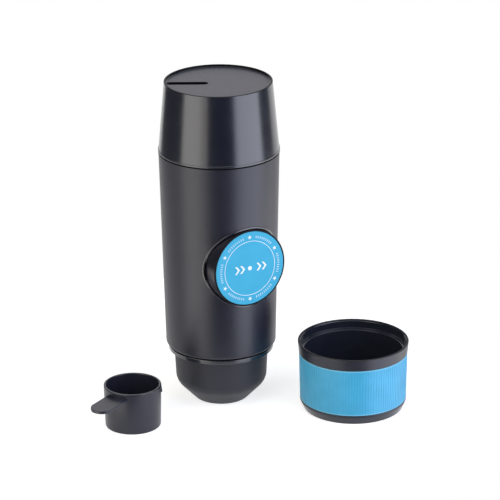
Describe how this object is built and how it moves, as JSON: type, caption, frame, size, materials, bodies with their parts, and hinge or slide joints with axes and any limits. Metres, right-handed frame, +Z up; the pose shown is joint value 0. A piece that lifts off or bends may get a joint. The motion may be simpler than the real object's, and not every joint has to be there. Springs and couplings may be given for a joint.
{
  "type": "portable espresso maker",
  "caption": "Slim hand-pumped espresso maker with a screw-on water tank, sprung push knob and screw-off brew head, with its sleeved cup and a small dosing scoop.",
  "frame": {"origin": "centre of the outlet head's flat foot, on the surface that the machine stands on", "axes": "+Z up along the machine's axis, -Y the way the push knob faces, +X to the right seen from the knob's side"},
  "size_m": [0.1682, 0.106, 0.1718],
  "materials": {
    "casing_black": "satin",
    "tank_black": "gloss",
    "knob_black": "gloss",
    "face_blue": "printed, smooth",
    "sleeve_blue": "ribbed silicone",
    "cup_black": "gloss inside",
    "inner_dark": "moulded",
    "inner_light": "moulded",
    "seal_black": "smooth",
    "hose_clear": "smooth silicone",
    "steel": "brushed",
    "alloy": "blasted",
    "brass": "turned"
  },
  "bodies": {
    "housing": {"main_body": "casing_black", "knob_bezel": "knob_black", "tank_deck": "inner_dark", "deck_screws": "steel", "inlet_strainer": "steel", "chassis_plate": "alloy", "pump_cylinder": "inner_light", "rod_bush": "brass", "pump_screws": "steel", "return_spring": "steel", "valve_head": "inner_dark", "valve_screws": "steel", "inlet_fitting": "brass", "outlet_fitting": "brass", "outlet_spring": "steel", "feed_hose": "hose_clear", "brew_hose": "hose_clear", "brew_group": "inner_dark", "group_screws": "steel", "shower_plate": "steel", "shower_screw": "steel", "brew_gasket": "seal_black"},
    "seal_ring": {"tank_seal": "seal_black"},
    "tank": {"water_tank": "tank_black"},
    "plunger": {"press_knob": "knob_black", "knob_face": "face_blue", "knob_screw": "steel", "piston_rod": "steel", "piston": "inner_light", "piston_seal": "seal_black"},
    "inlet_valve": {"inlet_ball": "steel"},
    "outlet_valve": {"outlet_ball": "steel"},
    "basket": {"filter_basket": "steel", "basket_screen": "steel"},
    "head": {"outlet_head": "casing_black", "spout_nozzle": "seal_black"},
    "cup": {"cup_shell": "cup_black", "cup_sleeve": "sleeve_blue"},
    "scoop": {"scoop": "casing_black"}
  },
  "joints": [
    {"name": "knob_press", "type": "slide", "parent": "housing", "child": "plunger", "axis": [0, 1, 0], "range_m": [0, 0.009], "stiffness_N_per_m": 600, "springref_m": -0.006, "deforming": ["return_spring"]},
    {"name": "tank_turn", "type": "hinge", "parent": "housing", "child": "seal_ring", "pos_m": [0, 0, 0.1352], "axis": [0, 0, 1], "range_deg": [0, 720]},
    {"name": "tank_lift", "type": "slide", "parent": "seal_ring", "child": "tank", "axis": [0, 0, 1], "range_m": [0, 0.0121]},
    {"name": "head_drop", "type": "slide", "parent": "housing", "child": "basket", "axis": [0, 0, -1], "range_m": [0, 0.0181]},
    {"name": "head_turn", "type": "hinge", "parent": "basket", "child": "head", "pos_m": [0, 0, 0.0274], "axis": [0, 0, -1], "range_deg": [0, 1080]},
    {"name": "inlet_lift", "type": "slide", "parent": "housing", "child": "inlet_valve", "axis": [0, 0, 1], "range_m": [0, 0.0013]},
    {"name": "outlet_open", "type": "slide", "parent": "housing", "child": "outlet_valve", "axis": [0, 0, -1], "range_m": [0, 0.0015], "stiffness_N_per_m": 60, "springref_m": -0.003, "deforming": ["outlet_spring"]},
    {"name": "cup_lift", "type": "slide", "parent": "housing", "child": "cup", "axis": [0, 0, 1], "range_m": [0, 0.06]},
    {"name": "scoop_lift", "type": "slide", "parent": "housing", "child": "scoop", "axis": [0, 0, 1], "range_m": [0, 0.06]}
  ],
  "couplings": [
    {"joint": "tank_lift", "follows": "tank_turn", "m_per_rad": 0.00095493},
    {"joint": "head_drop", "follows": "head_turn", "m_per_rad": 0.00095493}
  ]
}
